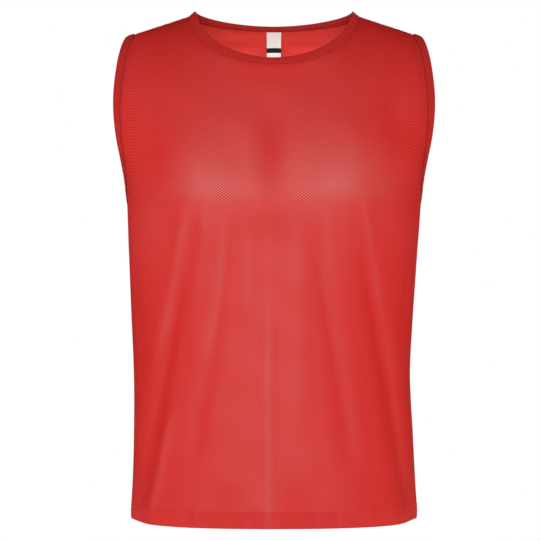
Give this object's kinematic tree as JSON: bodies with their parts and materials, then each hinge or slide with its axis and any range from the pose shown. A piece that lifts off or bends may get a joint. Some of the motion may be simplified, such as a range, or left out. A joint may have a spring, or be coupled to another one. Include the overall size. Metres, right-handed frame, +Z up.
{
  "type": "training bib",
  "caption": "Sleeveless pull-on training bib in red mesh knit, worn form and hollow, with bound round neck, bound armholes and a stitched hem.",
  "frame": {"origin": "midway between the two points where the shoulder seams meet the neck, where the wearer's shoulders hold the garment", "axes": "+Z up, -Y the garment's front, +X the wearer's left; the X=0 plane is the centre front and back"},
  "size_m": [0.4446, 0.2606, 0.7113],
  "materials": {
    "mesh_knit": "red polyester bird-eye mesh knit, slight sheen",
    "binding_knit": "red folded knit binding, smoother than the mesh",
    "label_satin": "white woven satin"
  },
  "bodies": {
    "root": {"front_panel": "mesh_knit", "back_panel": "mesh_knit", "neck_binding": "binding_knit", "armhole_binding_left": "binding_knit", "armhole_binding_right": "binding_knit", "neck_label": "label_satin"}
  },
  "joints": []
}
